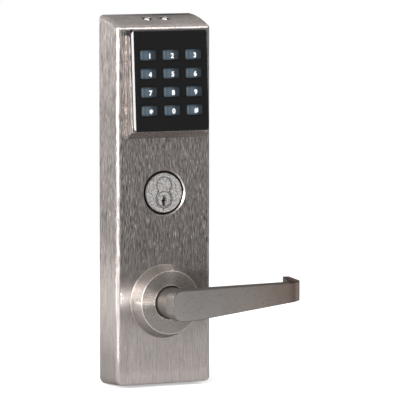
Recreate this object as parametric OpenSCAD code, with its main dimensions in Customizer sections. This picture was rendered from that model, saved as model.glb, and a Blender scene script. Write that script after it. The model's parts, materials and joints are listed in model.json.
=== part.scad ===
// Outside trim of an electronic mortise lock: a tall brushed-steel escutcheon with a raised keypad,
// a mortise key cylinder and a return lever.
// Frame: X to the right, Z up, -Y out of the door towards the user.
// Origin: on the face of the door, midway between the lever's axis and the cylinder's axis.

/* [Housing] */
// Width of the housing
body_w = 76.2; // [74:0.1:80]
// Depth from the door to the front face
body_d = 31.5; // [30.5:0.5:34]
// Height of the flat front face
face_h = 264.7; // [262:0.1:280]
// Height of the front face's top edge above the lever's axis
face_top = 203.3; // [203:0.1:210]
// Rise of the top from the front edge to the door
top_rise = 7.7; // [5:0.1:9]
// Height of the top's crown above its chord
top_crown = 1.5; // [0.5:0.1:2]
// Fall of the underside from the front edge to the door
bottom_fall = 2.0; // [0.5:0.1:3]
// Thickness of the side walls
side_wall = 2.2; // [1.8:0.1:2.6]
// Thickness of the front wall
front_wall = 3.0; // [2.4:0.1:3.4]
// Rounding of the front's side edges
edge_r = 3.5; // [2:0.1:4]
// Rounding of the front's top edge
top_edge_r = 4.5; // [3:0.1:5]
// Rounding of the front's bottom edge
bottom_edge_r = 1.8; // [1:0.1:3]
// Rounding of the upper corners, seen from the front
top_corner_r = 3.6; // [3:0.1:6]
// Rounding of the lower corners, seen from the front
bottom_corner_r = 5.5; // [2:0.1:6]

/* [Keypad] */
// Width of the raised metal surround
keypad_w = 61.4; // [60.6:0.1:64]
// Backwards lean of the keypad, in degrees
keypad_tilt = 3.8; // [3:0.1:5]
// Distance of the bezel's centre in front of the housing's face
keypad_proud = 12.15; // [11.5:0.05:13]
// Distance of the bezel's centre below the face's top edge
keypad_drop = 42.25; // [42:0.05:46]
// Reach of the bezel above its centre
bezel_up = 40.2; // [38.6:0.1:40.2]
// Reach of the bezel below its centre
bezel_down = 34.6; // [34:0.1:36]
// Depth of the bezel's cap in front of the metal surround
bezel_cap = 3.6; // [3.4:0.1:5]
// Thickness of the bezel's front plate
bezel_plate = 2.4; // [2:0.1:2.8]
// Rounding of the bezel's corners
bezel_r = 3.4; // [2:0.1:4]
// Chamfer of the bezel's front edges at its sides
bezel_edge = 1.3; // [0.6:0.1:3]
// Inset of the bezel from the side of the surround
bezel_inset = 0.25; // [0.1:0.05:0.4]
// Thickness of the surround's side cheeks
cheek = 2.25; // [2:0.05:2.6]
// Height of the surround's slanted underside, from its foot to the bezel
under_h = 5.7; // [4:0.1:8]
// Distance between key columns
key_pitch_x = 18.2; // [17.6:0.1:18.4]
// Distance between key rows
key_pitch_z = 13.55; // [12.6:0.05:13.8]
// Height of the middle of the key field above the bezel's centre
key_mid = 1.2; // [0:0.1:2]
// Width of a key
key_w = 11.9; // [10:0.1:12.2]
// Height of a key
key_h = 7.5; // [6.5:0.1:7.8]
// Height of a key in front of the bezel
key_proud = 2.1; // [1.6:0.1:2.4]
// Radius of a key's crowned face
key_crown = 26; // [22:1:60]
// Travel of a key
key_travel = 0.9; // [0.5:0.05:1]
// Gap around a key in its window
key_gap = 0.3; // [0.2:0.05:0.4]

/* [Key cylinder] */
// Height of the cylinder's axis above the lever's axis
axis_gap = 80.25; // [78:0.05:84]
// Radius of the mortise cylinder
cyl_r = 14.7; // [14.6:0.05:14.7]
// Radius of the cylinder's threaded rear
cyl_thread_r = 14.5; // [14.2:0.05:14.5]
// Length of the cylinder behind the face of the door
cyl_back = 16; // [14:0.5:20]
// Radius of the housing's hole around the cylinder
cyl_hole_r = 16.1; // [15.9:0.05:16.4]
// Chamfer around that hole
cyl_chamfer = 1.0; // [0.5:0.1:1.2]
// Radius of the plug that the key turns
plug_r = 5.5; // [5:0.05:5.5]
// Radius of the core's lower lobe
lobe_low_r = 6.5; // [6.5:0.05:6.7]
// Radius of the core's upper lobe
lobe_high_r = 5.9; // [5.5:0.05:6]
// Distance of the plug's axis below the cylinder's axis
plug_drop = 4.6; // [4.3:0.05:4.8]
// Distance of the upper lobe's centre above the cylinder's axis
lobe_rise = 5.7; // [5.5:0.05:6]

/* [Lever] */
// Radius of the rose where it meets the housing
rose_r = 27.3; // [26:0.1:29]
// Radius of the rose's front face
rose_front_r = 23.5; // [22:0.1:24]
// Height of the rose in front of the housing
rose_h = 11.2; // [10:0.1:12]
// Radius of the hole in the rose
rose_hole_r = 12.65; // [12.4:0.05:13]
// Radius of the lever's round neck
neck_r = 11.3; // [10.8:0.05:11.4]
// Distance from the housing's face to the front of the grip
lever_proud = 41; // [38:0.5:46]
// Reach of the lever from its axis
lever_len = 95; // [88:0.5:110]
// Height of the grip's lower edge at the tip, above the axis
tip_low = 0.2; // [-2:0.1:2]
// Height of the grip's upper edge at the tip, above the axis
tip_high = 13.6; // [12:0.1:15]
// Thickness of the grip at the neck
grip_root_t = 13.5; // [12:0.1:15]
// Thickness of the grip near the bend
grip_tip_t = 9.5; // [8:0.1:11]
// Gap left between the end of the return and the housing
return_gap = 15.5; // [12:0.5:20]
// Thickness of the return at its end
return_t = 5; // [4:0.1:6]
// Outer radius of the bend
bend_r = 9.5; // [7:0.1:9.9]
// Side of the square spindle
spindle_side = 8; // [7.6:0.1:8]
// Length of the spindle behind the face of the door
spindle_back = 40; // [30:1:50]

/* [Fixing] */
// Thickness of the back plate
plate_t = 2.5; // [2:0.1:3]
// Thickness of the gasket
gasket_t = 1.0; // [0.8:0.1:1.5]
// Height of the upper fixing post above the lever's axis
post_high = 118; // [114:0.5:120]
// Distance of the lower fixing post below the lever's axis
post_low = 42; // [38:0.5:44]
// Radius of a fixing post
post_r = 5; // [4.5:0.1:5.5]
// Radius of the tapped hole in a post
post_hole_r = 2.1; // [1.6:0.05:2.5]
// Radius of the way through for the door's cable
cable_hole_r = 5.5; // [4:0.1:6]
// Length of a post behind the face of the door
post_back = 18; // [14:1:25]
// Depth of the tapped hole
post_hole_depth = 15; // [10:1:17]

/* [Hidden] */
$fn = 64;

steel = "#a8a4a0";
black = "#1e1e1f";
key_blue = "#4a545e";
green_board = "#1f5a38";
brass = "#c9a557";

eps = 0.01;
fit = 0.1;         // clearance of a seated fit
run = 0.05;        // radial clearance of a running fit
apart = 0.3;       // gap between bodies that pass each other

face_y = -body_d;
inner_y = face_y + front_wall;
lever_z = -axis_gap / 2;
cyl_z = axis_gap / 2;
face_edge = lever_z + face_top;
face_bottom = face_edge - face_h;
back_top = face_edge + top_rise;
back_bottom = face_bottom - bottom_fall;
plate_y = -gasket_t;                 // back of the plate
plate_front = plate_y - plate_t;
cavity_x = body_w / 2 - side_wall;

// ---- outlines ----

function unit(v) = v / norm(v);

// Points of the arc of radius r that rounds corner p between a and b.
function fillet(a, p, b, r, n = 8) =
    let (u = unit(a - p), v = unit(b - p), half = acos(u * v) / 2)
    let (c = p + unit(u + v) * r / sin(half))
    let (s = p + u * r / tan(half) - c, e = p + v * r / tan(half) - c)
    let (a0 = atan2(s[1], s[0]), turn = atan2(e[1], e[0]) - a0)
    let (sweep = turn > 180 ? turn - 360 : turn < -180 ? turn + 360 : turn)
    [for (i = [0 : n]) c + r * [cos(a0 + sweep * i / n), sin(a0 + sweep * i / n)]];

// Points of a polygon whose corner i is rounded to radii[i].
function rounded(pts, radii) =
    let (n = len(pts))
    [for (i = [0 : n - 1])
        each (radii[i] > 0 ? fillet(pts[(i + n - 1) % n], pts[i], pts[(i + 1) % n], radii[i])
                           : [pts[i]])];

function box_points(x0, x1, z0, z1) = [[x0, z0], [x1, z0], [x1, z1], [x0, z1]];

// Height of the crowned top at depth y.
function top_z(y) =
    let (f = (y - face_y) / body_d) face_edge + top_rise * f + 4 * top_crown * f * (1 - f);

module rounded_box_2d(x0, x1, z0, z1, r) {
    polygon(rounded(box_points(x0, x1, z0, z1), [r, r, r, r]));
}

// A front-view outline (x, z) made solid from y0 to y1.
module front_slab(y0, y1) {
    translate([0, y1, 0]) rotate([90, 0, 0]) linear_extrude(y1 - y0) children();
}

// A side-view outline (y, z) made solid over width w, centred on x.
module side_slab(w, x = 0) {
    translate([x, 0, 0]) rotate([90, 0, 90]) linear_extrude(w, center = true) children();
}

// A plan-view outline (x, y) made solid from z0 to z1.
module plan_slab(z0, z1) {
    translate([0, 0, z0]) linear_extrude(z1 - z0) children();
}

// A round bar along Y at (x, z), from y0 to y1.
module rod_y(r, y0, y1, x = 0, z = 0) {
    translate([x, y1, z]) rotate([90, 0, 0]) cylinder(r = r, h = y1 - y0);
}

// ---- keypad frame: x right, y inwards from the bezel's face, z up the bezel ----

keypad_z = face_edge - keypad_drop;
module keypad_frame() {
    translate([0, face_y - keypad_proud, keypad_z]) rotate([-keypad_tilt, 0, 0]) children();
}

// The housing's (y, z) of a point (y, z) in the keypad frame.
function keypad_point(y, z) = [
    face_y - keypad_proud + y * cos(keypad_tilt) + z * sin(keypad_tilt),
    keypad_z - y * sin(keypad_tilt) + z * cos(keypad_tilt)
];

// Where the line at height z of the keypad frame meets the housing's face.
function keypad_to_face(z) = keypad_point((keypad_proud - z * sin(keypad_tilt)) / cos(keypad_tilt), z);

insert_x = keypad_w / 2 - cheek - fit;    // half width of the bezel's insert
insert_low = -bezel_down + 3.3;
insert_high = bezel_up - 3.8;
insert_end = 9.8;                         // back of the insert
boss_high = insert_high;                  // top of the metal surround
insert_wall = 1.5;
board_front = 7.0;
board_t = 1.6;
mat_t = 1.0;
board_x = insert_x - insert_wall - fit;
board_low = insert_low + insert_wall + fit;
board_high = insert_high - insert_wall - fit;
board_post_r = 2.2;
board_posts = [for (x = [-1, 1], z = [board_low + board_post_r + fit, board_high - board_post_r - fit])
    [x * (board_x - board_post_r - fit), z]];
flange_y = bezel_plate + apart;           // front of a key's flange
flange_t = 0.8;
flange_rim = 1.05;
dome_top = flange_y + flange_t + key_travel + apart;

// Places of the keys, row by row from the top left.
key_places = [for (row = [1.5, 0.5, -0.5, -1.5], column = [-1, 0, 1])
    [column * key_pitch_x, key_mid + row * key_pitch_z]];

module at_keys() {
    for (p = key_places) translate([p[0], 0, p[1]]) children();
}

// ---- contacts on the top ----

contact_x = 7.15;
contact_y = -17;
contact_r = 4.0;
contact_tilt = atan((top_z(contact_y - 1) - top_z(contact_y + 1)) / -2);

stud_r = 1.6;
nut_low = 7.2;                            // underside of a contact's nut below the top
lead_top = top_z(contact_y) - nut_low - 0.6;

module at_contact(side) {
    translate([side * contact_x, contact_y, top_z(contact_y)])
        rotate([contact_tilt, 0, 0]) children();
}

module at_contacts() {
    for (side = [-1, 1]) at_contact(side) children();
}

// ---- fixings ----

screw_x = cavity_x - 4.9;
screw_high = face_edge - 13.5;
screw_low = face_bottom + 11.5;
screw_places = [for (x = [-screw_x, screw_x], z = [screw_low, screw_high]) [x, z]];
screw_r = 1.5;
boss_r = 3.6;
cable_z = keypad_z - 20;
grommet_r = cable_hole_r + 2.5;
post_z = [lever_z + post_high, lever_z - post_low];

cage_r = 24;
cage_front = -18;
cage_wall = 2;
cage_lug = 27.5;
cage_lug_t = 2.5;
inner_cage = cage_r - cage_wall;
cage_lug_angles = [30, 150, 270];
hub_r = 9;

// ---- housing ----

module housing_outline_solid() {
    steps = 8;
    crown = [for (i = [1 : steps]) let (y = face_y + body_d * i / steps) [y, top_z(y)]];
    side = concat([[0, back_bottom], [face_y, face_bottom], [face_y, face_edge]], crown);
    side_radii = concat([0, bottom_edge_r, top_edge_r], [for (p = crown) 0]);
    plan = [[-body_w / 2, 0], [body_w / 2, 0], [body_w / 2, face_y], [-body_w / 2, face_y]];
    x = body_w / 2;
    fall = atan(bottom_fall / body_d);
    intersection() {
        side_slab(body_w + 2) polygon(rounded(side, side_radii));
        plan_slab(back_bottom - 1, back_top + 1) polygon(rounded(plan, [0, 0, edge_r, edge_r]));
        intersection_for (i = [2 : steps + 1])
            let (step = side[i + 1] - side[i])
            translate([0, side[i][0], side[i][1]]) rotate([atan2(step[1], step[0]), 0, 0])
            front_slab(-120, 120) polygon(rounded(box_points(-x, x, -face_h - 40, 0.02),
                [0, 0, top_corner_r, top_corner_r]));
        translate([0, face_y, face_bottom]) rotate([-fall, 0, 0]) front_slab(-120, 120)
            polygon(rounded(box_points(-x, x, -0.02, face_h + 40),
                [bottom_corner_r, bottom_corner_r, 0, 0]));
    }
}

// The raised wedge that carries the bezel.
module keypad_boss() {
    foot = keypad_point(bezel_cap, -bezel_down);
    head = keypad_point(bezel_cap, boss_high);
    top = keypad_to_face(boss_high);
    outline = [
        [face_y + 1, foot[1] - under_h], [face_y, foot[1] - under_h], foot, head,
        top, [face_y + 1, top[1]]
    ];
    side_slab(keypad_w) polygon(rounded(outline, [0, 0, 1, 2.4, 0, 0]));
}

cavity_front_top = top_z(inner_y) - side_wall - 0.3;

module cavity() {
    outline = [
        [eps, back_bottom + side_wall], [inner_y, face_bottom + side_wall],
        [inner_y, cavity_front_top], [eps, back_top - side_wall]
    ];
    side_slab(2 * cavity_x) polygon(outline);
}

module housing() color(steel) {
    difference() {
        union() {
            difference() {
                housing_outline_solid();
                cavity();
            }
            keypad_boss();
            for (p = screw_places) rod_y(boss_r, inner_y - eps, plate_front, p[0], p[1]);
        }
        keypad_frame() front_slab(-1, keypad_proud + 12)
            rounded_box_2d(-insert_x - fit, insert_x + fit, insert_low - fit, insert_high + fit, 2);
        rod_y(cyl_hole_r, face_y - 1, 0, 0, cyl_z);
        translate([0, face_y + cyl_chamfer, cyl_z]) rotate([90, 0, 0])
            cylinder(r1 = cyl_hole_r, r2 = cyl_hole_r + 2 * cyl_chamfer, h = 2 * cyl_chamfer);
        rod_y(spigot_r + fit, face_y - 1, 0, 0, lever_z);
        for (p = screw_places) rod_y(screw_r, plate_front - 12, 0, p[0], p[1]);
        at_contacts() translate([0, 0, -9]) cylinder(r = contact_r + fit, h = 12);
    }
}

// Points of a helix around Z, of radius r and height h.
function coil_path(r, h, turns, steps) =
    [for (i = [0 : turns * steps]) [r * cos(360 * i / steps), r * sin(360 * i / steps),
        h * i / (turns * steps)]];

// A wire of radius r along a path that never runs along Z.
module wire_along(path, r, sides) {
    n = len(path);
    points = [for (i = [0 : n - 1])
        let (t = unit(path[min(i + 1, n - 1)] - path[max(i - 1, 0)]))
        let (u = unit(cross(t, [0, 0, 1])), v = cross(u, t))
        for (k = [0 : sides - 1]) path[i] + r * (cos(360 * k / sides) * u + sin(360 * k / sides) * v)];
    skin = [for (i = [0 : n - 2], k = [0 : sides - 1])
        let (a = i * sides + k, b = i * sides + (k + 1) % sides)
        each [[a, b, b + sides], [a, b + sides, a + sides]]];
    start = [for (k = [sides - 1 : -1 : 0]) k];
    end = [for (k = [0 : sides - 1]) (n - 1) * sides + k];
    polyhedron(points, concat(skin, [start, end]), convexity = 6);
}

// Outline of the plate and the gasket, inside the housing's rim.
module rim_outline(inset) {
    x = cavity_x - inset;
    f = plate_front / inner_y;
    low = back_bottom + side_wall + f * (face_bottom - back_bottom) + inset;
    high = back_top - side_wall + f * (cavity_front_top - back_top + side_wall) - inset;
    rounded_box_2d(-x, x, low, high, 2);
}

module back_plate() color("#8f9194") {
    difference() {
        front_slab(plate_front, plate_y) rim_outline(fit);
        rod_y(cyl_r + apart, plate_front - 1, 0, 0, cyl_z);
        rod_y(hub_r + apart, plate_front - 1, 0, 0, lever_z);
        rod_y(grommet_r - 1, plate_front - 1, 0, 0, cable_z);
        for (z = post_z) rod_y(post_r + run, plate_front - 1, 0, 0, z);
        for (p = screw_places) rod_y(screw_r + fit, plate_front - 1, 0, p[0], p[1]);
        for (p = screw_places) translate([p[0], plate_y, p[1]]) rotate([90, 0, 0])
            cylinder(r1 = screw_head_r, r2 = screw_r, h = screw_head_h);
        at_cage_lugs() rod_y(screw_r + fit, plate_front - 1, 0);
        for (x = spacer_x, z = spacer_z) rod_y(1.2, plate_front - 1, 0, x, z);
    }
}

screw_head_r = 2.8;
screw_head_h = 1.5;

module gasket() color("#2b2b2b") {
    difference() {
        front_slab(plate_y, 0) rim_outline(fit);
        rod_y(cyl_r + apart, plate_y - 1, 1, 0, cyl_z);
        rod_y(spindle_side, plate_y - 1, 1, 0, lever_z);
        rod_y(grommet_r + fit, plate_y - 1, 1, 0, cable_z);
        for (z = post_z) rod_y(post_r + fit, plate_y - 1, 1, 0, z);
    }
}

// Countersunk screws from the back of the plate into the housing's bosses.
module plate_screws() color("#9a9a9c") {
    for (p = screw_places) difference() {
        union() {
            rod_y(screw_r, plate_front - 9, plate_y - screw_head_h + eps, p[0], p[1]);
            translate([p[0], plate_y, p[1]]) rotate([90, 0, 0])
                cylinder(r1 = screw_head_r, r2 = screw_r, h = screw_head_h);
        }
        for (turn = [0, 90]) translate([p[0], plate_y, p[1]]) rotate([0, turn, 0])
            cube([0.6, 1.6, 2.6], center = true);
    }
}

// Tapped posts that take the through bolts from the inside of the door.
module mount_posts() color("#8c8c8e") {
    for (z = post_z) difference() {
        union() {
            rod_y(post_r, plate_front - 1.5, post_back, 0, z);
            rod_y(post_r + 2, plate_front - 1.5, plate_front, 0, z);
        }
        rod_y(post_hole_r, post_back - post_hole_depth, post_back + 1, 0, z);
    }
}

// ---- keypad ----

module keypad_bezel() color(black) {
    half = keypad_w / 2 - bezel_inset;
    inner_x = insert_x - insert_wall;
    tongue_low = boss_high + fit;
    keypad_frame() {
        difference() {
            union() {
                intersection() {
                    front_slab(0, bezel_cap)
                        rounded_box_2d(-half, half, -bezel_down, bezel_up, bezel_r);
                    plan_slab(-bezel_down - 1, bezel_up + 1) polygon([
                        [-half, bezel_edge], [bezel_edge - half, 0], [half - bezel_edge, 0],
                        [half, bezel_edge], [half, bezel_cap + 1], [-half, bezel_cap + 1]]);
                    side_slab(3 * half) polygon(rounded(
                        box_points(0, bezel_cap + 1, -bezel_down, bezel_up), [1, 0, 0, 1]));
                }
                front_slab(bezel_cap - eps, insert_end)
                    rounded_box_2d(-insert_x, insert_x, insert_low, insert_high, 2);
            }
            front_slab(bezel_plate, insert_end + 1) rounded_box_2d(-inner_x, inner_x,
                insert_low + insert_wall, insert_high - insert_wall, 1);
            at_keys() front_slab(-1, bezel_plate + 1) rounded_box_2d(
                -key_w / 2 - key_gap, key_w / 2 + key_gap,
                -key_h / 2 - key_gap, key_h / 2 + key_gap, 1.2);
        }
        for (p = board_posts) difference() {
            rod_y(board_post_r, bezel_plate - eps, board_front, p[0], p[1]);
            rod_y(0.9, bezel_plate + 0.8, board_front + 1, p[0], p[1]);
        }
    }
    side_slab(2 * half) polygon([
        keypad_point(bezel_cap - eps, tongue_low), keypad_to_face(tongue_low),
        keypad_to_face(bezel_up), keypad_point(bezel_cap - eps, bezel_up)]);
}

module keypad_mat() color("#3a3d40") keypad_frame() {
    difference() {
        union() {
            front_slab(board_front - mat_t, board_front)
                rounded_box_2d(-board_x, board_x, board_low, board_high, 1);
            at_keys() translate([0, board_front - mat_t + eps, 0]) rotate([90, 0, 0])
                cylinder(r1 = 3.6, r2 = 2.8, h = board_front - mat_t - dome_top + eps);
        }
        at_keys() rod_y(dome_r + 0.2, board_front - 1.2, board_front + 1);
        for (p = board_posts) rod_y(board_post_r + fit, 0, board_front + 1, p[0], p[1]);
        for (x = led_places) rod_y(1.6, 0, board_front + 1, x, led_z);
    }
}

dome_r = 2.0;
led_places = [-4, 4];
led_z = board_high - 4;

module keypad_board() color(green_board) keypad_frame() {
    difference() {
        front_slab(board_front, board_front + board_t)
            rounded_box_2d(-board_x, board_x, board_low, board_high, 1);
        for (p = board_posts) rod_y(1.0, 0, board_front + board_t + 1, p[0], p[1]);
    }
}

// Snap domes under the mat, one per key.
module dome_switches() color("#c8c8cc") keypad_frame() {
    at_keys() translate([0, board_front, 0]) rotate([90, 0, 0])
        cylinder(r1 = dome_r, r2 = dome_r - 0.8, h = 0.5);
}

module status_leds() color("#dfe6d8") keypad_frame() {
    for (x = led_places) translate([x - 0.8, board_front - 0.6, led_z - 0.5]) cube([1.6, 0.6, 1.0]);
}

module sounder() color("#26282a") keypad_frame() {
    difference() {
        rod_y(6, board_front + board_t, board_front + board_t + 3.2, 14, 8);
        rod_y(1, board_front + board_t + 2, board_front + board_t + 4, 14, 8);
    }
}

module board_screws() color("#9a9a9c") keypad_frame() {
    for (p = board_posts) {
        rod_y(0.9, board_front - 3, board_front + board_t + eps, p[0], p[1]);
        rod_y(1.9, board_front + board_t, board_front + board_t + 1.2, p[0], p[1]);
    }
}

// One key: the cap that shows, and the flange that holds it behind the bezel.
module key(i) color(key_blue) keypad_frame() translate([key_places[i][0], 0, key_places[i][1]]) {
    w = key_w / 2;
    h = key_h / 2;
    intersection() {
        front_slab(-key_proud - 1, flange_y + eps) rounded_box_2d(-w, w, -h, h, 1);
        translate([0, key_crown - key_proud, 0]) sphere(r = key_crown, $fn = 128);
    }
    front_slab(flange_y, flange_y + flange_t)
        rounded_box_2d(-w - flange_rim, w + flange_rim, -h - flange_rim, h + flange_rim, 1);
}

// ---- electronics behind the keypad ----

control_y = -16.6;          // front of the control board
control_t = 1.6;
control_x = 30;
control_low = keypad_z - 34;
control_high = keypad_z + 24;
socket_h = 4;
socket_w = 16;
socket_depth = 5;
ribbon_x = -9;
ribbon_w = 12;
ribbon_t = 0.8;
ribbon_z = keypad_z - 22;
keypad_socket_z = (ribbon_z - keypad_z) / cos(keypad_tilt) + (board_front + board_t) * tan(keypad_tilt);
spacer_x = [-26, 26];
spacer_z = [control_low + 4, control_high - 4];

module ribbon_shape(grow = 0) {
    start = keypad_point(board_front + board_t + 1, keypad_socket_z)[0];
    translate([ribbon_x - ribbon_w / 2 - grow, start, ribbon_z - ribbon_t / 2 - grow])
        cube([ribbon_w + 2 * grow, control_y - 1 - start, ribbon_t + 2 * grow]);
}

// The socket on the back of the keypad's board and the one on the control board.
module cable_sockets() color("#e3dfd0") {
    difference() {
        keypad_frame() translate([ribbon_x - socket_w / 2, board_front + board_t,
            keypad_socket_z - socket_h / 2]) cube([socket_w, socket_depth, socket_h]);
        ribbon_shape();
    }
    difference() {
        translate([ribbon_x - socket_w / 2, control_y - socket_depth, ribbon_z - socket_h / 2])
            cube([socket_w, socket_depth, socket_h]);
        ribbon_shape();
    }
}

module ribbon_cable() color("#b9bcc0") ribbon_shape();

module control_board() color(green_board) {
    difference() {
        front_slab(control_y, control_y + control_t)
            rounded_box_2d(-control_x, control_x, control_low, control_high, 1.5);
        for (x = spacer_x, z = spacer_z) rod_y(1.2, control_y - 1, 0, x, z);
    }
}

processor = [14, 1.4, 14];
processor_low = -6;
relay = [13, 7, 10];
relay_place = [10, -15];
capacitor_r = 3.5;
capacitor_h = 8;
capacitor_x = [-22, -13];
capacitor_rise = 7;

// Processor, relay and two storage capacitors.
module control_chips() color("#2a2c30") {
    translate([-processor[0] / 2, control_y - processor[1], keypad_z + processor_low]) cube(processor);
    translate([relay_place[0], control_y - relay[1], keypad_z + relay_place[1]]) cube(relay);
    for (x = capacitor_x)
        rod_y(capacitor_r, control_y - capacitor_h, control_y, x, keypad_z + capacitor_rise);
}

// Socket for the door's cable, facing the way through the plate.
module cable_socket() color("#e3dfd0") {
    difference() {
        translate([-7, control_y + control_t, cable_z - 4.5]) cube([14, 6, 9]);
        translate([-5.5, control_y + control_t + 1.2, cable_z - 3]) cube([11, 6, 6]);
    }
}

// Spacers between the plate and the control board, each with its screw in one piece.
module board_spacers() color("#b08d3a") {
    for (x = spacer_x, z = spacer_z) {
        rod_y(2.6, control_y + control_t, plate_front, x, z);
        rod_y(1.2, control_y - 0.5, plate_y, x, z);
        rod_y(2.4, control_y - 1.7, control_y, x, z);
    }
}

module contact_insulators() color(black) {
    at_contacts() difference() {
        translate([0, 0, -5]) cylinder(r = contact_r, h = 4.7);
        translate([0, 0, -6]) cylinder(r = stud_r, h = 8);
        translate([0, 0, -1.3]) cylinder(r = 3.2, h = 2);
    }
}

// Domed studs that a battery is held against when the lock has lost its power.
module contact_studs() color("#d8d8da") {
    at_contacts() {
        translate([0, 0, -9]) cylinder(r = stud_r, h = 8);
        intersection() {
            translate([0, 0, -2.1]) sphere(r = 2.6);
            translate([0, 0, -1.3]) cylinder(r = 3, h = 3);
        }
    }
}

module contact_nuts() color("#c0c0c2") {
    at_contacts() difference() {
        translate([0, 0, -nut_low]) cylinder(r = 3.2, h = nut_low - 5, $fn = 6);
        translate([0, 0, -8]) cylinder(r = stud_r, h = 4);
    }
}

// Brass strips from the studs to the top of the control board.
module contact_leads() color(brass) {
    strip_t = 0.8;
    foot = 12;
    for (side = [-1, 1]) difference() {
        union() {
            translate([side * contact_x - 1.5, control_y - strip_t, control_high - foot])
                cube([3, strip_t, lead_top - control_high + foot]);
            at_contact(side) translate([-2.6, -2.6, -nut_low - strip_t]) cube([5.2, 5.2, strip_t]);
        }
        at_contact(side) translate([0, 0, -10]) cylinder(r = stud_r, h = 6);
    }
}

module cable_grommet() color("#303030") {
    difference() {
        union() {
            rod_y(grommet_r - 1, plate_front - 1, plate_y + 0.8, 0, cable_z);
            rod_y(grommet_r, plate_front - 1, plate_front, 0, cable_z);
            rod_y(grommet_r, plate_y, plate_y + 0.8, 0, cable_z);
        }
        rod_y(cable_hole_r, plate_front - 2, 1, 0, cable_z);
    }
}

// ---- key cylinder ----

cyl_front = face_y + 0.3;
core_back = 12;
core_gap = 0.2;
plug_back = cyl_back + 1.5;
plug_z = cyl_z - plug_drop;
pin_r = 1.35;
pin_count = 6;
pin_pitch = 4.0;
pin_first = cyl_front + 5;
pin_top = cyl_z + lobe_rise + lobe_high_r - 1.2;
driver_len = 5;
key_pin_low = 1.4;

module core_outline(grow) {
    translate([0, plug_z]) circle(r = lobe_low_r + grow);
    translate([0, cyl_z + lobe_rise]) circle(r = lobe_high_r + grow);
    translate([-lobe_high_r * 0.72 - grow, plug_z]) square([(lobe_high_r * 0.72 + grow) * 2,
        plug_drop + lobe_rise]);
}

module at_pins() {
    for (i = [0 : pin_count - 1]) translate([0, pin_first + i * pin_pitch, 0]) children();
}

module cylinder_body() color("#b3aea8") {
    difference() {
        union() {
            rod_y(cyl_r, cyl_front, 0.5, 0, cyl_z);
            rod_y(cyl_thread_r, 0, cyl_back, 0, cyl_z);
        }
        front_slab(cyl_front - 1, core_back + core_gap) core_outline(core_gap);
        rod_y(plug_r + apart, 0, cyl_back + 1, 0, plug_z);
    }
}

// Dark ring that centres the cylinder in the housing's hole.
module cylinder_collar() color(black) {
    difference() {
        rod_y(cyl_hole_r - fit / 2, face_y + 1.4, inner_y + 4, 0, cyl_z);
        rod_y(cyl_r + fit / 2, face_y, inner_y + 5, 0, cyl_z);
    }
}

module core_body() color("#b3aea8") {
    difference() {
        front_slab(cyl_front, core_back) core_outline(0);
        rod_y(plug_r + run, cyl_front - 1, core_back + 1, 0, plug_z);
        at_pins() translate([0, 0, plug_z]) cylinder(r = pin_r + run, h = pin_top - plug_z);
    }
}

// Cross-section of the keyway, from its top to the foot of the plug.
module keyway_outline() {
    w = 0.75;
    polygon([
        [-w, 2.6], [w + 0.1, 2.6], [w + 0.1, 0.8], [w + 1, 0.2], [w + 1, -1.4], [w, -2.0],
        [w, -5], [-w - 0.3, -5], [-w - 0.3, -2.6], [-w - 1, -2.0], [-w - 1, -0.6], [-w, 0]
    ]);
}

module plug() color("#c4bfb8") {
    difference() {
        rod_y(plug_r, cyl_front, plug_back, 0, plug_z);
        translate([0, 0, plug_z]) front_slab(cyl_front - 1, core_back - 2) keyway_outline();
        at_pins() translate([0, 0, plug_z + key_pin_low]) cylinder(r = pin_r + run, h = plug_r);
        for (x = cam_screw_x) rod_y(1.1, plug_back - 5, plug_back + 1, x, plug_z);
    }
}

cam_screw_x = [-3.2, 3.2];
cam_t = 3;
cam_r = 8.5;
cam_reach = 14;

module key_pins() color(brass) {
    at_pins() intersection() {
        translate([0, 0, plug_z + key_pin_low]) cylinder(r = pin_r, h = plug_r);
        translate([0, 0, plug_z]) rotate([90, 0, 0])
            cylinder(r = plug_r - run, h = 2 * pin_r + 1, center = true);
    }
}

module driver_pins() color(brass) {
    at_pins() translate([0, 0, plug_z + plug_r + run]) cylinder(r = pin_r, h = driver_len);
}

// Coil springs above the driver pins.
module pin_springs() color("#d0d0d2") {
    wire = 0.25;
    low = plug_z + plug_r + run + driver_len + wire;
    at_pins() translate([0, 0, low])
        wire_along(coil_path(pin_r - 0.35, pin_top - low - wire - 0.05, 3, 10), wire, 5);
}

module cylinder_cam() color("#b8b4aa") {
    difference() {
        translate([0, 0, plug_z]) front_slab(plug_back, plug_back + cam_t) {
            circle(r = cam_r);
            polygon(rounded([[-3, 0], [3, 0], [3, cam_reach], [-3, cam_reach]], [0, 0, 1.5, 1.5]));
        }
        for (x = cam_screw_x) rod_y(1.2, plug_back - 1, plug_back + cam_t + 1, x, plug_z);
    }
}

module cam_screws() color("#9a9a9c") {
    for (x = cam_screw_x) difference() {
        union() {
            rod_y(1.1, plug_back - 4.5, plug_back + cam_t + eps, x, plug_z);
            rod_y(2.0, plug_back + cam_t, plug_back + cam_t + 1.2, x, plug_z);
        }
        translate([x, plug_back + cam_t + 1.2, plug_z]) cube([0.5, 1.2, 5], center = true);
    }
}

// ---- lever ----

module at_lever() translate([0, 0, lever_z]) children();

module at_cage_lugs() {
    at_lever() for (a = cage_lug_angles) translate([cage_lug * cos(a), 0, cage_lug * sin(a)]) children();
}

spigot_r = 17;
rose_y = face_y - rose_h;
spigot_end = inner_y + 3;
nut_t = 2.6;
bushing_front = rose_y + 5;
ring_t = 1.2;
ring_front = spigot_end + apart;
groove_r = neck_r - 1;
neck_end = ring_front + ring_t + 1.5;
grip_y = face_y - lever_proud;
spindle_front = grip_y + 14;
grip_low = -11.0;
set_screw_y = spindle_front + 7;
set_screw_r = 2.5;

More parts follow.
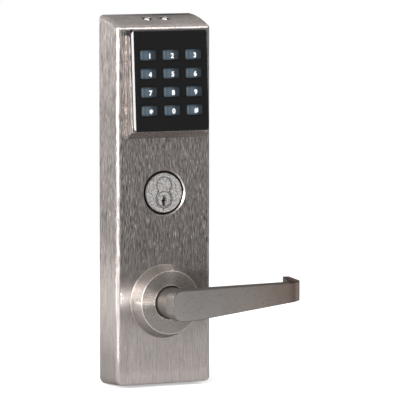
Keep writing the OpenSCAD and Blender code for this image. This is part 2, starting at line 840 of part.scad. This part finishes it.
module rose() color(steel) at_lever() {
    difference() {
        union() {
            translate([0, face_y, 0]) rotate([90, 0, 0])
                cylinder(r1 = rose_r, r2 = rose_front_r, h = rose_h);
            rod_y(spigot_r, face_y - eps, spigot_end);
        }
        rod_y(rose_hole_r, rose_y - 1, spigot_end + 1);
    }
}

module rose_nut() color("#8f9194") at_lever() {
    difference() {
        rod_y(spigot_r + 4.5, inner_y, inner_y + nut_t);
        rod_y(spigot_r + run, inner_y - 1, inner_y + nut_t + 1);
        for (a = [0 : 90 : 270]) rotate([0, a, 0]) translate([spigot_r + 4.5, inner_y + nut_t / 2, 0])
            cube([3, nut_t + 2, 4], center = true);
    }
}

module lever_bushing() color("#8a6f3c") at_lever() {
    difference() {
        rod_y(rose_hole_r, bushing_front, spigot_end);
        rod_y(neck_r + run, bushing_front - 1, spigot_end + 1);
    }
}

// Front view of the grip: rounded at the neck, tapering from below towards the tip.
module grip_front_outline() {
    top_root = neck_r;
    polygon(rounded([
        [-neck_r, grip_low], [4, grip_low], [lever_len, tip_low],
        [lever_len, tip_high], [-neck_r, top_root]
    ], [6.5, 0, 0, 0, 6.5]));
}

// Plan view of the grip: thick at the neck, bent back towards the door at the tip.
module grip_plan_outline() {
    end_y = face_y - return_gap;
    polygon(rounded([
        [-neck_r, grip_y], [lever_len, grip_y], [lever_len, end_y], [lever_len - return_t, end_y],
        [lever_len - return_t - 3, grip_y + grip_tip_t], [neck_r + 1.5, grip_y + grip_root_t],
        [-neck_r, grip_y + grip_root_t]
    ], [0, bend_r, 0.8, 0.8, 5, 0, 0]));
}

// Side view of the return, whose edges rise a little towards the door.
module return_side_outline() {
    end_y = face_y - return_gap;
    polygon([
        [grip_y - 1, tip_low], [end_y + 1, tip_low + 1.5], [end_y + 1, tip_high + 2],
        [grip_y - 1, tip_high]
    ]);
}

module lever() color(steel) at_lever() {
    return_x = lever_len - bend_r + 1;
    difference() {
        union() {
            intersection() {
                front_slab(grip_y - 1, grip_y + grip_root_t + 1) grip_front_outline();
                plan_slab(-20, 30) grip_plan_outline();
            }
            intersection() {
                side_slab(lever_len - return_x + 1, (lever_len + return_x + 1) / 2) return_side_outline();
                plan_slab(-20, 30) grip_plan_outline();
            }
            rod_y(neck_r, grip_y + 4, neck_end);
        }
        front_slab(spindle_front - 0.5, neck_end + 1)
            square(spindle_side + 2 * run, center = true);
        difference() {
            rod_y(neck_r + 1, ring_front - run, ring_front + ring_t + run);
            rod_y(groove_r, ring_front - 1, ring_front + ring_t + 1);
        }
        translate([0, set_screw_y, -neck_r - 1]) cylinder(r = set_screw_r, h = neck_r);
    }
}

// Grub screw that holds the lever on the spindle, reached from below.
module lever_set_screw() color("#3a3a3c") at_lever() {
    low = -neck_r + 0.8;
    difference() {
        translate([0, set_screw_y, low]) cylinder(r = set_screw_r, h = -spindle_side / 2 - low);
        translate([0, set_screw_y, low - 1]) cylinder(r = 1.3, h = 3, $fn = 6);
    }
}

module retaining_ring() color("#5a5a5c") at_lever() {
    difference() {
        rod_y(neck_r + 2.2, ring_front, ring_front + ring_t);
        rod_y(groove_r + run, ring_front - 1, ring_front + ring_t + 1);
        translate([-2, ring_front - 1, 0]) cube([4, ring_t + 2, 20]);
    }
}

hub_front = neck_end;
hub_end = plate_y - 0.3;
arm_front = cage_front + cage_wall + 0.5;
arm_t = 4.5;
arm_r = cage_r - cage_wall - 2.5;
arm_half = 3;
lever_swing = 45;
spring_wire = 0.8;
spring_r = hub_r + apart + spring_wire + 0.3;

// Driver on the spindle, with two arms that turn between the cage's stops.
module lever_hub() color("#7d7f82") at_lever() {
    difference() {
        union() {
            rod_y(hub_r, hub_front, hub_end);
            translate([-arm_half, arm_front, -arm_r]) cube([2 * arm_half, arm_t, 2 * arm_r]);
        }
        front_slab(hub_front - 1, hub_end + 1) square(spindle_side + 2 * fit, center = true);
    }
}

module spindle() color("#a0a0a2") at_lever() {
    front_slab(spindle_front, spindle_back) square(spindle_side, center = true);
}

// Cup on the back plate that holds the return spring and stops the hub.
module spring_cage() color("#6f7174") {
    stop_low = arm_r - 4;
    stop_angle = 90 - lever_swing - asin(arm_half / stop_low) - 1.5;
    at_lever() {
        difference() {
            union() {
                rod_y(cage_r, cage_front, plate_front);
                for (a = cage_lug_angles) rotate([0, -a, 0]) {
                    rod_y(4, plate_front - cage_lug_t, plate_front, cage_lug, 0);
                    translate([cage_r - 1, plate_front - cage_lug_t, -3])
                        cube([cage_lug - cage_r, cage_lug_t, 6]);
                }
            }
            rod_y(inner_cage, cage_front + cage_wall, plate_front + 1);
            rod_y(hub_r + apart, cage_front - 1, 0);
            for (a = cage_lug_angles)
                rod_y(screw_r + fit, plate_front - cage_lug_t - 1, 0, cage_lug * cos(a), cage_lug * sin(a));
        }
        for (side = [0, 180]) rotate([0, side, 0])
            front_slab(cage_front + cage_wall - eps, arm_front + arm_t) intersection() {
                difference() {
                    circle(r = inner_cage + 0.5);
                    circle(r = stop_low);
                }
                polygon(2 * cage_r * [[0, 0], [cos(stop_angle), sin(stop_angle)], [1.3, 0],
                    [cos(stop_angle), -sin(stop_angle)]]);
            }
    }
}

cage_head_r = 2.6;
cage_head_t = 1.8;

module cage_screws() color("#9a9a9c") {
    at_cage_lugs() {
        rod_y(screw_r, plate_front - cage_lug_t - eps, plate_y - 0.2);
        rod_y(cage_head_r, plate_front - cage_lug_t - cage_head_t, plate_front - cage_lug_t);
    }
}

// Torsion spring around the hub, with a leg at each end.
module return_spring() color("#c4c4c6") at_lever() {
    low = arm_front + arm_t + 0.6 + spring_wire;
    high = plate_front - apart - spring_wire;
    coil = coil_path(spring_r, high - low, 3, 20);
    path = concat([[inner_cage - 1, 0, 0], [spring_r + 2, 0, 0]], [for (i = [1 : len(coil) - 2]) coil[i]],
        [[spring_r + 2, 0, high - low], [inner_cage - 1, 0, high - low]]);
    translate([0, high, 0]) rotate([90, -90, 0]) wire_along(path, spring_wire, 8);
}

housing();
back_plate();
gasket();
plate_screws();
mount_posts();
keypad_bezel();
keypad_mat();
keypad_board();
dome_switches();
status_leds();
sounder();
board_screws();
key(0);  // key_1
key(1);  // key_2
key(2);  // key_3
key(3);  // key_4
key(4);  // key_5
key(5);  // key_6
key(6);  // key_7
key(7);  // key_8
key(8);  // key_9
key(9);  // key_star
key(10);  // key_0
key(11);  // key_hash
cable_sockets();
ribbon_cable();
control_board();
control_chips();
board_spacers();
contact_insulators();
contact_studs();
contact_nuts();
contact_leads();
cable_socket();
cable_grommet();
cylinder_body();
cylinder_collar();
core_body();
plug();
key_pins();
driver_pins();
pin_springs();
cylinder_cam();
cam_screws();
rose();
rose_nut();
lever_bushing();
lever();
lever_set_screw();
retaining_ring();
lever_hub();
spindle();
spring_cage();
cage_screws();
return_spring();
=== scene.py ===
"""Looks for the keypad lock trim: materials, key characters, stage, lights and camera.

Lengths are in metres and colours are linear.
"""
import json
import math

import bpy
from mathutils import Matrix, Vector


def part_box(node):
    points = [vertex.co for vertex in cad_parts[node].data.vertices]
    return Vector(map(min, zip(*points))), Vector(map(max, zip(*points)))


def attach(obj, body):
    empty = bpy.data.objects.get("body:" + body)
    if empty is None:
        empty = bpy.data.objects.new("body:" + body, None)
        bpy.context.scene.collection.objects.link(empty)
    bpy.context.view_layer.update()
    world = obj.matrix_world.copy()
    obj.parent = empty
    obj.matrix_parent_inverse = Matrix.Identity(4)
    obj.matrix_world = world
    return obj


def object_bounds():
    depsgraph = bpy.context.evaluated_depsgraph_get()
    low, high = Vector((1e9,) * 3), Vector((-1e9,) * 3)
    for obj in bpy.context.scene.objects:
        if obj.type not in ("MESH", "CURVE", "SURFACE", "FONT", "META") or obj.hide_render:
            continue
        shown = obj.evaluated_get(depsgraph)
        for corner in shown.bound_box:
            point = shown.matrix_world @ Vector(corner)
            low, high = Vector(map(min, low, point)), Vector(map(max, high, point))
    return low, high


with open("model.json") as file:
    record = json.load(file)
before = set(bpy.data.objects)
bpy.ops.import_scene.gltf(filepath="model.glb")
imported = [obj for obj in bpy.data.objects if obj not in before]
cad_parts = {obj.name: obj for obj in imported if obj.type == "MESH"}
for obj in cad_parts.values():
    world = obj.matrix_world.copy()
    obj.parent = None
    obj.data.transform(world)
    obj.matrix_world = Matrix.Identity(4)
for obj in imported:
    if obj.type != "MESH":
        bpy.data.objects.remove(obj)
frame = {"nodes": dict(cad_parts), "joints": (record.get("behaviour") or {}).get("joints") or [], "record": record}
nodes = frame["nodes"]
cad_low, cad_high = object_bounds()

# The keypad leans back: its keys travel along the panel's own normal.
press = next(j for j in frame["joints"] if j["name"] == "press_1")
KEY_TILT = math.atan2(-press["axis"][2], press["axis"][1])

# Node names of the keys, and what each one shows.
KEYS = {**{digit: digit for digit in "123456789"}, "star": "*", "0": "0", "hash": "#"}


# ---------------------------------------------------------------- shader helpers

def new_material(name, base, metallic, rough, specular=0.5):
    mat = bpy.data.materials.new(name)
    mat.use_nodes = True
    tree = mat.node_tree
    bsdf = tree.nodes["Principled BSDF"]
    bsdf.inputs["Base Color"].default_value = (*base, 1)
    bsdf.inputs["Metallic"].default_value = metallic
    bsdf.inputs["Roughness"].default_value = rough
    bsdf.inputs["Specular IOR Level"].default_value = specular
    return mat, tree, bsdf


def noise(tree, cells, detail=3.0, roughness=0.6):
    """Noise in the object's own coordinates; cells is how many fit in a metre of x, y, z."""
    coord = tree.nodes.new("ShaderNodeTexCoord")
    mapping = tree.nodes.new("ShaderNodeMapping")
    mapping.inputs["Scale"].default_value = cells
    tex = tree.nodes.new("ShaderNodeTexNoise")
    tex.inputs["Scale"].default_value = 1.0
    tex.inputs["Detail"].default_value = detail
    tex.inputs["Roughness"].default_value = roughness
    tree.links.new(coord.outputs["Object"], mapping.inputs["Vector"])
    tree.links.new(mapping.outputs["Vector"], tex.inputs["Vector"])
    return tex.outputs["Fac"]


def ramp(tree, value, stops):
    """A colour ramp over value; stops are (position, grey or colour)."""
    node = tree.nodes.new("ShaderNodeValToRGB")
    elements = node.color_ramp.elements
    while len(elements) < len(stops):
        elements.new(0.5)
    for element, (place, colour) in zip(elements, stops):
        element.position = place
        if isinstance(colour, (int, float)):
            colour = (colour, colour, colour)
        element.color = (*colour, 1)
    tree.links.new(value, node.inputs["Fac"])
    return node.outputs["Color"]


def around(tree, value, low, high, spread):
    """A tone that runs from 1 - spread, where value is low, to 1 + spread, where it is high."""
    return ramp(tree, value, [(low, 1 - spread), (high, 1 + spread)])


def times(tree, a, b):
    """The product of two colours; each is a socket or a plain colour."""
    node = tree.nodes.new("ShaderNodeMix")
    node.data_type = "RGBA"
    node.blend_type = "MULTIPLY"
    node.inputs[0].default_value = 1.0
    for socket, value in ((node.inputs[6], a), (node.inputs[7], b)):
        if isinstance(value, bpy.types.NodeSocket):
            tree.links.new(value, socket)
        else:
            socket.default_value = (*value, 1)
    return node.outputs[2]


def bump(tree, bsdf, height, strength, distance, edge):
    """Relief from height, over edges that are rounded by the radius edge unless it is 0."""
    node = tree.nodes.new("ShaderNodeBump")
    node.inputs["Strength"].default_value = strength
    node.inputs["Distance"].default_value = distance
    tree.links.new(height, node.inputs["Height"])
    if edge:
        bevel = tree.nodes.new("ShaderNodeBevel")
        bevel.samples = 6
        bevel.inputs["Radius"].default_value = edge
        tree.links.new(bevel.outputs["Normal"], node.inputs["Normal"])
    tree.links.new(node.outputs["Normal"], bsdf.inputs["Normal"])


def fraction(tree, axis, low, high):
    """0 where axis reads low, 1 where it reads high."""
    coord = tree.nodes.new("ShaderNodeTexCoord")
    split = tree.nodes.new("ShaderNodeSeparateXYZ")
    span = tree.nodes.new("ShaderNodeMapRange")
    span.inputs["From Min"].default_value = low
    span.inputs["From Max"].default_value = high
    tree.links.new(coord.outputs["Object"], split.inputs["Vector"])
    tree.links.new(split.outputs[axis], span.inputs["Value"])
    return span.outputs["Result"]


def faded(tree, value, share):
    """value, drawn towards 0.5 where share is below 1."""
    node = tree.nodes.new("ShaderNodeMix")
    node.data_type = "FLOAT"
    node.inputs[2].default_value = 0.5
    tree.links.new(share, node.inputs[0])
    tree.links.new(value, node.inputs[3])
    return node.outputs[0]


def lay(tree, bsdf, amount, along):
    """Stretches highlights round axis Z, or out from axis Y as on a turned face."""
    bsdf.inputs["Anisotropic"].default_value = amount
    bsdf.inputs["Anisotropic Rotation"].default_value = 0.25 if along == "Y" else 0.0
    tangent = tree.nodes.new("ShaderNodeTangent")
    tangent.direction_type = "RADIAL"
    tangent.axis = along
    tree.links.new(tangent.outputs["Tangent"], bsdf.inputs["Tangent"])


def painted_edge_shading(tree, radius, tone):
    """Painted highlight (tone above 1) or painted shade (tone below 1) within about radius of an edge, 1 on the
    flats.
    """
    bevel = tree.nodes.new("ShaderNodeBevel")
    bevel.samples = 8
    bevel.inputs["Radius"].default_value = radius
    flat = tree.nodes.new("ShaderNodeNewGeometry")
    dot = tree.nodes.new("ShaderNodeVectorMath")
    dot.operation = "DOT_PRODUCT"
    tree.links.new(bevel.outputs["Normal"], dot.inputs[0])
    tree.links.new(flat.outputs["Normal"], dot.inputs[1])
    return ramp(tree, dot.outputs["Value"], [(0.8, tone), (0.99, 1.0)])


# ---------------------------------------------------------------- materials

METAL_EDGE = 0.0004      # rounding that the shader gives to metal edges
PLASTIC_EDGE = 0.0002
STREAK_DEPTH = 0.00004   # depth of the brush marks
METAL_TINT = (0.3, 0.3, 0.3, 1)


def brushed(name, base, cells, contrast, rough, relief=0.25, turned=None, painted_shade_x=None, coarse=None,
            hairline=None, painted_edge=None):
    """Brushed metal: its streaks run along the axis with the fewest cells.

    turned (amount, axis) stretches the highlights. painted_shade_x (low, high, stops) paints shade on the piece
    along X.
    coarse (low, high, stops) fades the streaks along Z. hairline (cells, depth) adds fine lines.
    painted_edge (radius, tone) paints a highlight or shade along the edges.
    """
    mat, tree, bsdf = new_material(name, base, 0.9, rough)
    bsdf.inputs["Specular Tint"].default_value = METAL_TINT
    if turned:
        lay(tree, bsdf, *turned)
    streaks = noise(tree, cells, detail=4.0, roughness=0.7)
    if coarse:
        low, high, stops = coarse
        streaks = faded(tree, streaks, ramp(tree, fraction(tree, "Z", low, high), stops))
    colour = times(tree, base, around(tree, streaks, 0.3, 0.7, contrast))
    cloud = noise(tree, (28, 28, 16), detail=2.0)
    colour = times(tree, colour, around(tree, cloud, 0.3, 0.7, 0.05))
    # Painted shade along X.
    if painted_shade_x:
        low, high, stops = painted_shade_x
        colour = times(tree, colour, ramp(tree, fraction(tree, "X", low, high), stops))
    if hairline:
        line_cells, depth = hairline
        colour = times(tree, colour, around(tree, noise(tree, line_cells, detail=2.0), 0.35, 0.65, depth))
    # Painted highlight or painted shade along the edges, as each finish sets it.
    if painted_edge:
        colour = times(tree, colour, painted_edge_shading(tree, *painted_edge))
    tree.links.new(colour, bsdf.inputs["Base Color"])
    worn = ramp(tree, streaks, [(0.25, rough - 0.05), (0.75, rough + 0.07)])
    tree.links.new(worn, bsdf.inputs["Roughness"])
    bump(tree, bsdf, streaks, relief, STREAK_DEPTH, METAL_EDGE)
    return mat


def plastic(name, base, rough, cells, depth, specular=0.5, spread=0.12):
    """Moulded plastic or rubber with a fine grain."""
    mat, tree, bsdf = new_material(name, base, 0.0, rough, specular)
    grain = noise(tree, (cells, cells, cells))
    colour = times(tree, base, around(tree, grain, 0.3, 0.7, spread))
    tree.links.new(colour, bsdf.inputs["Base Color"])
    worn = ramp(tree, grain, [(0.3, max(rough - 0.04, 0.02)), (0.7, rough + 0.04)])
    tree.links.new(worn, bsdf.inputs["Roughness"])
    bump(tree, bsdf, grain, 0.3, depth, PLASTIC_EDGE)
    return mat


def key_material():
    """Smoky blue plastic, with painted shade at the edges and towards the right of each key, and painted
    highlights near its left edge.
    """
    base = (0.05, 0.068, 0.083)
    mat, tree, bsdf = new_material("key_plastic", base, 0.0, 0.1, 0.35)
    split = tree.nodes.new("ShaderNodeSeparateXYZ")
    coord = tree.nodes.new("ShaderNodeTexCoord")
    tree.links.new(coord.outputs["Generated"], split.inputs["Vector"])
    # Painted highlights near each key's left edge, and painted shade at its edges and over its right half.
    painted_light_across = ramp(tree, split.outputs["X"], [(0.0, 0.15), (0.1, 1.3), (0.2, 0.8), (0.3, 1.2),
                                             (0.5, 1.0), (0.66, 0.5), (0.9, 0.4), (1.0, 0.1)])
    # Painted shade at the top and bottom of each key.
    painted_shade_upward = ramp(tree, split.outputs["Z"], [(0.05, 0.05), (0.3, 1.0), (0.75, 1.0), (1.0, 0.05)])
    shade = times(tree, painted_light_across, painted_shade_upward)
    tree.links.new(times(tree, base, shade), bsdf.inputs["Base Color"])
    grain = noise(tree, (1200, 1200, 1200))
    tree.links.new(ramp(tree, grain, [(0.3, 0.08), (0.7, 0.13)]), bsdf.inputs["Roughness"])
    bump(tree, bsdf, grain, 0.3, 0.000004, PLASTIC_EDGE)
    return mat


def board_material():
    """Green solder mask with fine copper tracks."""
    mask, track = (0.008, 0.075, 0.03), (0.02, 0.15, 0.06)
    mat, tree, bsdf = new_material("board", (0.01, 0.09, 0.035), 0.0, 0.3)
    tracks = noise(tree, (420, 420, 420), detail=1.0)
    lines = ramp(tree, tracks, [(0.47, mask), (0.5, track), (0.53, mask)])
    tree.links.new(lines, bsdf.inputs["Base Color"])
    bump(tree, bsdf, tracks, 0.2, 0.00003, 0)
    return mat


# Painted shade on the lever: it darkens a little towards its tip, and more where it bends back to the door.
LEVER_PAINTED_SHADE = (0.02, 0.095, [(0, 1.0), (0.5, (0.97, 0.91, 0.87)), (0.82, (0.8, 0.68, 0.62)),
                             (0.9, (0.5, 0.42, 0.38)), (0.96, (0.84, 0.72, 0.66))])
# The housing's brush marks are strong above the rose and faint below it.
HOUSING_MARKS = (-0.1, 0.17, [(0.245, 0.22), (0.37, 1.0)])

print_white = plastic("print_white", (0.82, 0.84, 0.86), rough=0.4, cells=2500, depth=0.000005,
                      spread=0.04)
by_slot = {
    "steel": brushed("steel", (0.38, 0.342, 0.324), (1900, 1900, 170), contrast=0.95, rough=0.22,
                     relief=0.3, turned=(0.95, "Z"), coarse=HOUSING_MARKS,
                     hairline=((2200, 2200, 45), 0.14)),
    # The lever: painted shade towards its tip and at the bend, and painted shade along its edges.
    "steel_smooth": brushed("satin_steel", (0.38, 0.355, 0.335), (300, 1500, 1500), contrast=0.08,
                            rough=0.3, painted_shade_x=LEVER_PAINTED_SHADE, painted_edge=(0.0015, 0.2)),
    # Painted shade: the nickel's edges are painted black, standing for the dark gaps round the plug and core.
    "nickel": brushed("satin_nickel", (0.88, 0.83, 0.8), (1000, 1000, 1000), contrast=1.0, rough=0.3,
                      relief=1.0, painted_edge=(0.0012, 0.0)),
    "zinc": brushed("zinc_plate", (0.33, 0.335, 0.34), (600, 600, 600), contrast=0.1, rough=0.4),
    "bright": brushed("polished", (0.8, 0.8, 0.8), (500, 500, 500), contrast=0.03, rough=0.08),
    "brass": brushed("brass", (0.55, 0.4, 0.15), (700, 700, 700), contrast=0.08, rough=0.3),
    "bronze": brushed("bronze", (0.3, 0.19, 0.08), (700, 700, 700), contrast=0.12, rough=0.45),
    "black_gloss": plastic("panel_black", (0.004, 0.0042, 0.004), rough=0.14, cells=900,
                           depth=0.00001, specular=0.4),
    "key_plastic": key_material(),
    "black_plastic": plastic("black_plastic", (0.012, 0.012, 0.012), rough=0.4, cells=1500,
                             depth=0.00002),
    "light_plastic": plastic("pale_plastic", (0.55, 0.52, 0.43), rough=0.45, cells=1500,
                             depth=0.00002, spread=0.05),
    "rubber": plastic("rubber", (0.022, 0.022, 0.022), rough=0.75, cells=1800, depth=0.00005),
    "board": board_material(),
}
# Two pieces look unlike the rest of their slot.
by_node = {
    # Painted highlight: the rose's edges are painted three times as bright as its face.
    "rose": brushed("rose_steel", (0.38, 0.343, 0.318), (900, 900, 900), contrast=0.05, rough=0.28,
                    relief=0.03, turned=(0.94, "Y"), painted_edge=(0.0014, 3.0)),
    "cylinder_collar": plastic("collar_black", (0.003, 0.003, 0.003), rough=0.4, cells=1500,
                               depth=0.00002, specular=0.05),
}
for part in frame["record"]["subparts"]:
    finish = by_node.get(part["node"], by_slot[part["material_slot"]])
    slots = nodes[part["node"]].data.materials
    if slots:
        for i in range(len(slots)):
            slots[i] = finish
    else:
        slots.append(finish)


# ---------------------------------------------------------------- rounded edges

FLAT_ANGLE = math.radians(0.6)   # faces that meet at less are joined before the rounding
SHARP_ANGLE = math.radians(32)   # edges that turn by more are rounded


def rounded_edges(name, width, segments=3):
    piece = nodes[name]
    planar = piece.modifiers.new("planar", "DECIMATE")
    planar.decimate_type = "DISSOLVE"
    planar.angle_limit = FLAT_ANGLE
    edges = piece.modifiers.new("edges", "BEVEL")
    edges.width = width
    edges.segments = segments
    edges.limit_method = "ANGLE"
    edges.angle_limit = SHARP_ANGLE
    edges.harden_normals = True


rounded_edges("lever", 0.0013)
rounded_edges("rose", 0.0004)
for ring in ("core_body", "plug", "cylinder_body"):
    rounded_edges(ring, 0.0003, segments=2)
for key in KEYS:
    rounded_edges("key_" + key, 0.0005)


# ---------------------------------------------------------------- characters on the keys

CROWN_R = 0.026            # a key's face is part of a ball of this radius
CHARACTER_SIZE = 0.005
STAR_SIZE = 0.0069         # the star is drawn small in its font
STROKE = 0.00016           # how far a stroke is fattened
INK = 0.00006              # half the thickness of a character
INK_SUNK = 0.00002         # how deep its middle lies under the key's face
CHARACTER_RIGHT = 0.0007   # a character's place beside the middle of its key
CHARACTER_DOWN = 0.0002


def character_mesh(name, text):
    """The character as a flat mesh."""
    curve = bpy.data.curves.new(name, "FONT")
    curve.body = text
    curve.size = STAR_SIZE if text == "*" else CHARACTER_SIZE
    curve.offset = STROKE
    curve.extrude = INK
    curve.align_x = "CENTER"
    curve.resolution_u = 4
    draft = bpy.data.objects.new("draft_" + name, curve)
    bpy.context.collection.objects.link(draft)
    graph = bpy.context.evaluated_depsgraph_get()
    mesh = bpy.data.meshes.new_from_object(draft.evaluated_get(graph))
    bpy.data.objects.remove(draft)
    return mesh


def key_character(key, text):
    """A thin printed character that follows the crowned face of a key."""
    name = "char_" + key
    mesh = character_mesh(name, text)
    xs = [v.co.x for v in mesh.vertices]
    ys = [v.co.y for v in mesh.vertices]
    middle = Vector(((min(xs) + max(xs)) / 2, (min(ys) + max(ys)) / 2, 0))
    low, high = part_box("key_" + key)
    centre = Vector(((low.x + high.x) / 2, low.y, (low.z + high.z) / 2))
    turn = Matrix.Rotation(-KEY_TILT, 4, "X")
    for v in mesh.vertices:
        flat = v.co - middle
        x, z = flat.x + CHARACTER_RIGHT, flat.y - CHARACTER_DOWN
        drop = CROWN_R - math.sqrt(CROWN_R * CROWN_R - x * x - z * z)
        v.co = centre + turn @ Vector((x, drop - flat.z - INK_SUNK, z))
    mesh.materials.append(print_white)
    piece = bpy.data.objects.new(name, mesh)
    bpy.context.collection.objects.link(piece)
    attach(piece, "key_" + key + "_body")


for key, text in KEYS.items():
    key_character(key, text)


# ---------------------------------------------------------------- stage

FLOOR_Z = cad_low[2] - 0.0005   # the floor lies just under the part
CARD_Z = FLOOR_Z + 0.002        # cards that lie on the floor


def faced(thing, place, aim, front):
    """Links thing into the scene at place, with its local axis front towards aim."""
    bpy.context.collection.objects.link(thing)
    thing.location = place
    thing.rotation_euler = (Vector(aim) - Vector(place)).to_track_quat(front, "Y").to_euler()


def stage_floor():
    half = 6.0
    mesh = bpy.data.meshes.new("floor")
    corners = [(-half, -half, FLOOR_Z), (half, -half, FLOOR_Z), (half, half, FLOOR_Z),
               (-half, half, FLOOR_Z)]
    mesh.from_pydata(corners, [], [(0, 1, 2, 3)])
    mat, tree, bsdf = new_material("floor", (0.9, 0.9, 0.9), 0.0, 0.9)
    grain = noise(tree, (40, 40, 40))
    tree.links.new(ramp(tree, grain, [(0.3, 0.89), (0.7, 0.91)]), bsdf.inputs["Base Color"])
    paths = tree.nodes.new("ShaderNodeLightPath")
    tree.links.new(paths.outputs["Is Camera Ray"], bsdf.inputs["Emission Strength"])
    bsdf.inputs["Emission Color"].default_value = (0.45, 0.45, 0.45, 1)
    mesh.materials.append(mat)
    floor = bpy.data.objects.new("floor", mesh)
    bpy.context.collection.objects.link(floor)


def card(name, place, aim, width, height, tones):
    """A reflection card beside the set, shaded from its foot up: only shiny surfaces see it."""
    mesh = bpy.data.meshes.new(name)
    x, y = width / 2, height / 2
    mesh.from_pydata([(-x, -y, 0), (x, -y, 0), (x, y, 0), (-x, y, 0)], [], [(0, 1, 2, 3)])
    mat, tree, bsdf = new_material(name, (0, 0, 0), 0.0, 1.0, 0.0)
    tree.links.new(ramp(tree, fraction(tree, "Y", -y, y), tones), bsdf.inputs["Emission Color"])
    bsdf.inputs["Emission Strength"].default_value = 1.0
    mesh.materials.append(mat)
    thing = bpy.data.objects.new(name, mesh)
    faced(thing, place, aim, "Z")
    for ray in ("camera", "diffuse", "shadow", "transmission"):
        setattr(thing, "visible_" + ray, False)


def plain_card(name, place, aim, width, height, tone):
    card(name, place, aim, width, height, [(0, tone), (1, tone)])


def lying_card(name, x, y, width, height, tone):
    """A card that lies on the floor and faces up."""
    plain_card(name, (x, y, CARD_Z), (x, y, 1), width, height, tone)


def lamp(name, place, aim, width, height, power):
    light = bpy.data.lights.new(name, "AREA")
    light.shape = "RECTANGLE"
    light.size = width
    light.size_y = height
    light.energy = power
    thing = bpy.data.objects.new(name, light)
    faced(thing, place, aim, "-Z")
    thing.visible_camera = False


def white_world():
    """White to the camera and in reflections, and a softer fill for the rest."""
    world = bpy.data.worlds.new("world")
    bpy.context.scene.world = world
    world.use_nodes = True
    tree = world.node_tree
    shown = tree.nodes["Background"]
    shown.inputs["Color"].default_value = (1, 1, 1, 1)
    shown.inputs["Strength"].default_value = 1.0
    fill = tree.nodes.new("ShaderNodeBackground")
    fill.inputs["Color"].default_value = (0.95, 0.97, 1.0, 1)
    fill.inputs["Strength"].default_value = 0.6
    paths = tree.nodes.new("ShaderNodeLightPath")
    seen = paths.outputs["Is Camera Ray"]
    for other in ("Is Glossy Ray", "Is Transmission Ray"):
        both = tree.nodes.new("ShaderNodeMath")
        both.operation = "MAXIMUM"
        tree.links.new(seen, both.inputs[0])
        tree.links.new(paths.outputs[other], both.inputs[1])
        seen = both.outputs[0]
    blend = tree.nodes.new("ShaderNodeMixShader")
    tree.links.new(seen, blend.inputs[0])
    tree.links.new(fill.outputs[0], blend.inputs[1])
    tree.links.new(shown.outputs[0], blend.inputs[2])
    tree.links.new(blend.outputs[0], tree.nodes["World Output"].inputs["Surface"])


stage_floor()
white_world()

# What the front mirrors: dark in front of the rose, paler towards the top.
card("front_card", (0.25, -0.42, 0.1), (0.25, -0.03, 0.1), width=0.9, height=0.4,
     tones=[(0, 0.135), (0.12, 0.15), (0.26, 0.21), (0.35, 0.24), (0.55, 0.29), (1, 0.32)])
lying_card("floor_card", 0.2, -0.26, width=0.7, height=0.32, tone=0.85)
# What the left side, its long rounded edge and the rose's cone mirror.
lying_card("side_card", -0.5, 0.45, width=0.7, height=0.6, tone=1.5)
card("edge_card", (-0.168, -0.095, -0.035), (-0.038, -0.03, -0.035), width=0.028, height=0.13,
     tones=[(0, 12), (0.18, 7), (0.42, 3), (0.7, 2.6), (1, 2.6)])
plain_card("cone_card", (-0.3, 0.1, -0.066), (-0.03, -0.035, -0.04), width=0.08, height=0.03, tone=8)
# A dark card, for the outline of the right edge.
plain_card("right_card", (0.85, 0.74, 0.2), (0, 0, 0.1), width=1.36, height=0.7, tone=0.06)

# Lamp powers are in watts.
lamp("wall_light", (-1.4, -1.1, 0.62), (0, 0, 0.05), width=1.9, height=1.1, power=27)
lamp("strip_light", (-1.46, -0.73, -0.02), (0, 0, 0.03), width=0.33, height=1.5, power=41)
lamp("side_light", (-1.1, 2.1, 0.45), (0, 0, 0.1), width=1.0, height=1.0, power=3.6)
lamp("top_light", (0.7, -1.02, 1.0), (0, 0, 0.15), width=0.5, height=0.3, power=4)
# A small lamp close to the rose makes the bright band at the lever's height.
lamp("band_light", (-0.01, -0.17, -0.052), (-0.032, -0.0315, -0.04), width=0.012, height=0.003,
     power=0.014)


# ---------------------------------------------------------------- camera

CAMERA_AIM = Vector((0.02927, -0.0315, 0.0337))
CAMERA_AZIMUTH = math.radians(-25.5)   # 0 looks along +Y, at the front
CAMERA_RISE = math.radians(4.97)
CAMERA_DISTANCE = 3.019


def photo_camera():
    """The camera of the photograph: a long lens, a little to the left and above."""
    camera = bpy.data.cameras.new("camera")
    camera.lens = 366.9
    camera.sensor_width = 36
    camera.clip_end = 50
    level = math.cos(CAMERA_RISE)
    back = Vector((math.sin(CAMERA_AZIMUTH) * level, -math.cos(CAMERA_AZIMUTH) * level,
                   math.sin(CAMERA_RISE)))
    eye = bpy.data.objects.new("camera", camera)
    faced(eye, CAMERA_AIM + CAMERA_DISTANCE * back, CAMERA_AIM, "-Z")
    bpy.context.scene.camera = eye


photo_camera()
bpy.context.scene.view_settings.view_transform = "Standard"
